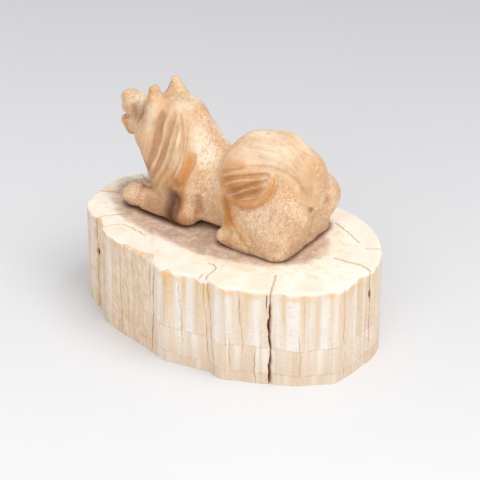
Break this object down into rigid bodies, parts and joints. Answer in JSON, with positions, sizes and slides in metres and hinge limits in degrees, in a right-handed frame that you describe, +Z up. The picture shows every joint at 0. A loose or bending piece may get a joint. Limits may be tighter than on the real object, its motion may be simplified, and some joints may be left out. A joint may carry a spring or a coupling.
{
  "type": "carved dog figurine",
  "caption": "Small carved ivory dog lying with its head raised and its tail curled over its back, on an oval slab cut across a tusk.",
  "frame": {"origin": "middle of the slab's flat underside", "axes": "+X along the slab's long axis, from the dog's head to its rump; +Z up; the dog's left side faces -Y"},
  "size_m": [0.0722, 0.0484, 0.0548],
  "materials": {
    "tan_ivory": "satin, hand carved and stippled old ivory",
    "pale_tusk": "satin sawn tusk with a weathered, cracked rind"
  },
  "bodies": {
    "root": {"dog": "tan_ivory", "tusk_base": "pale_tusk"}
  },
  "joints": []
}
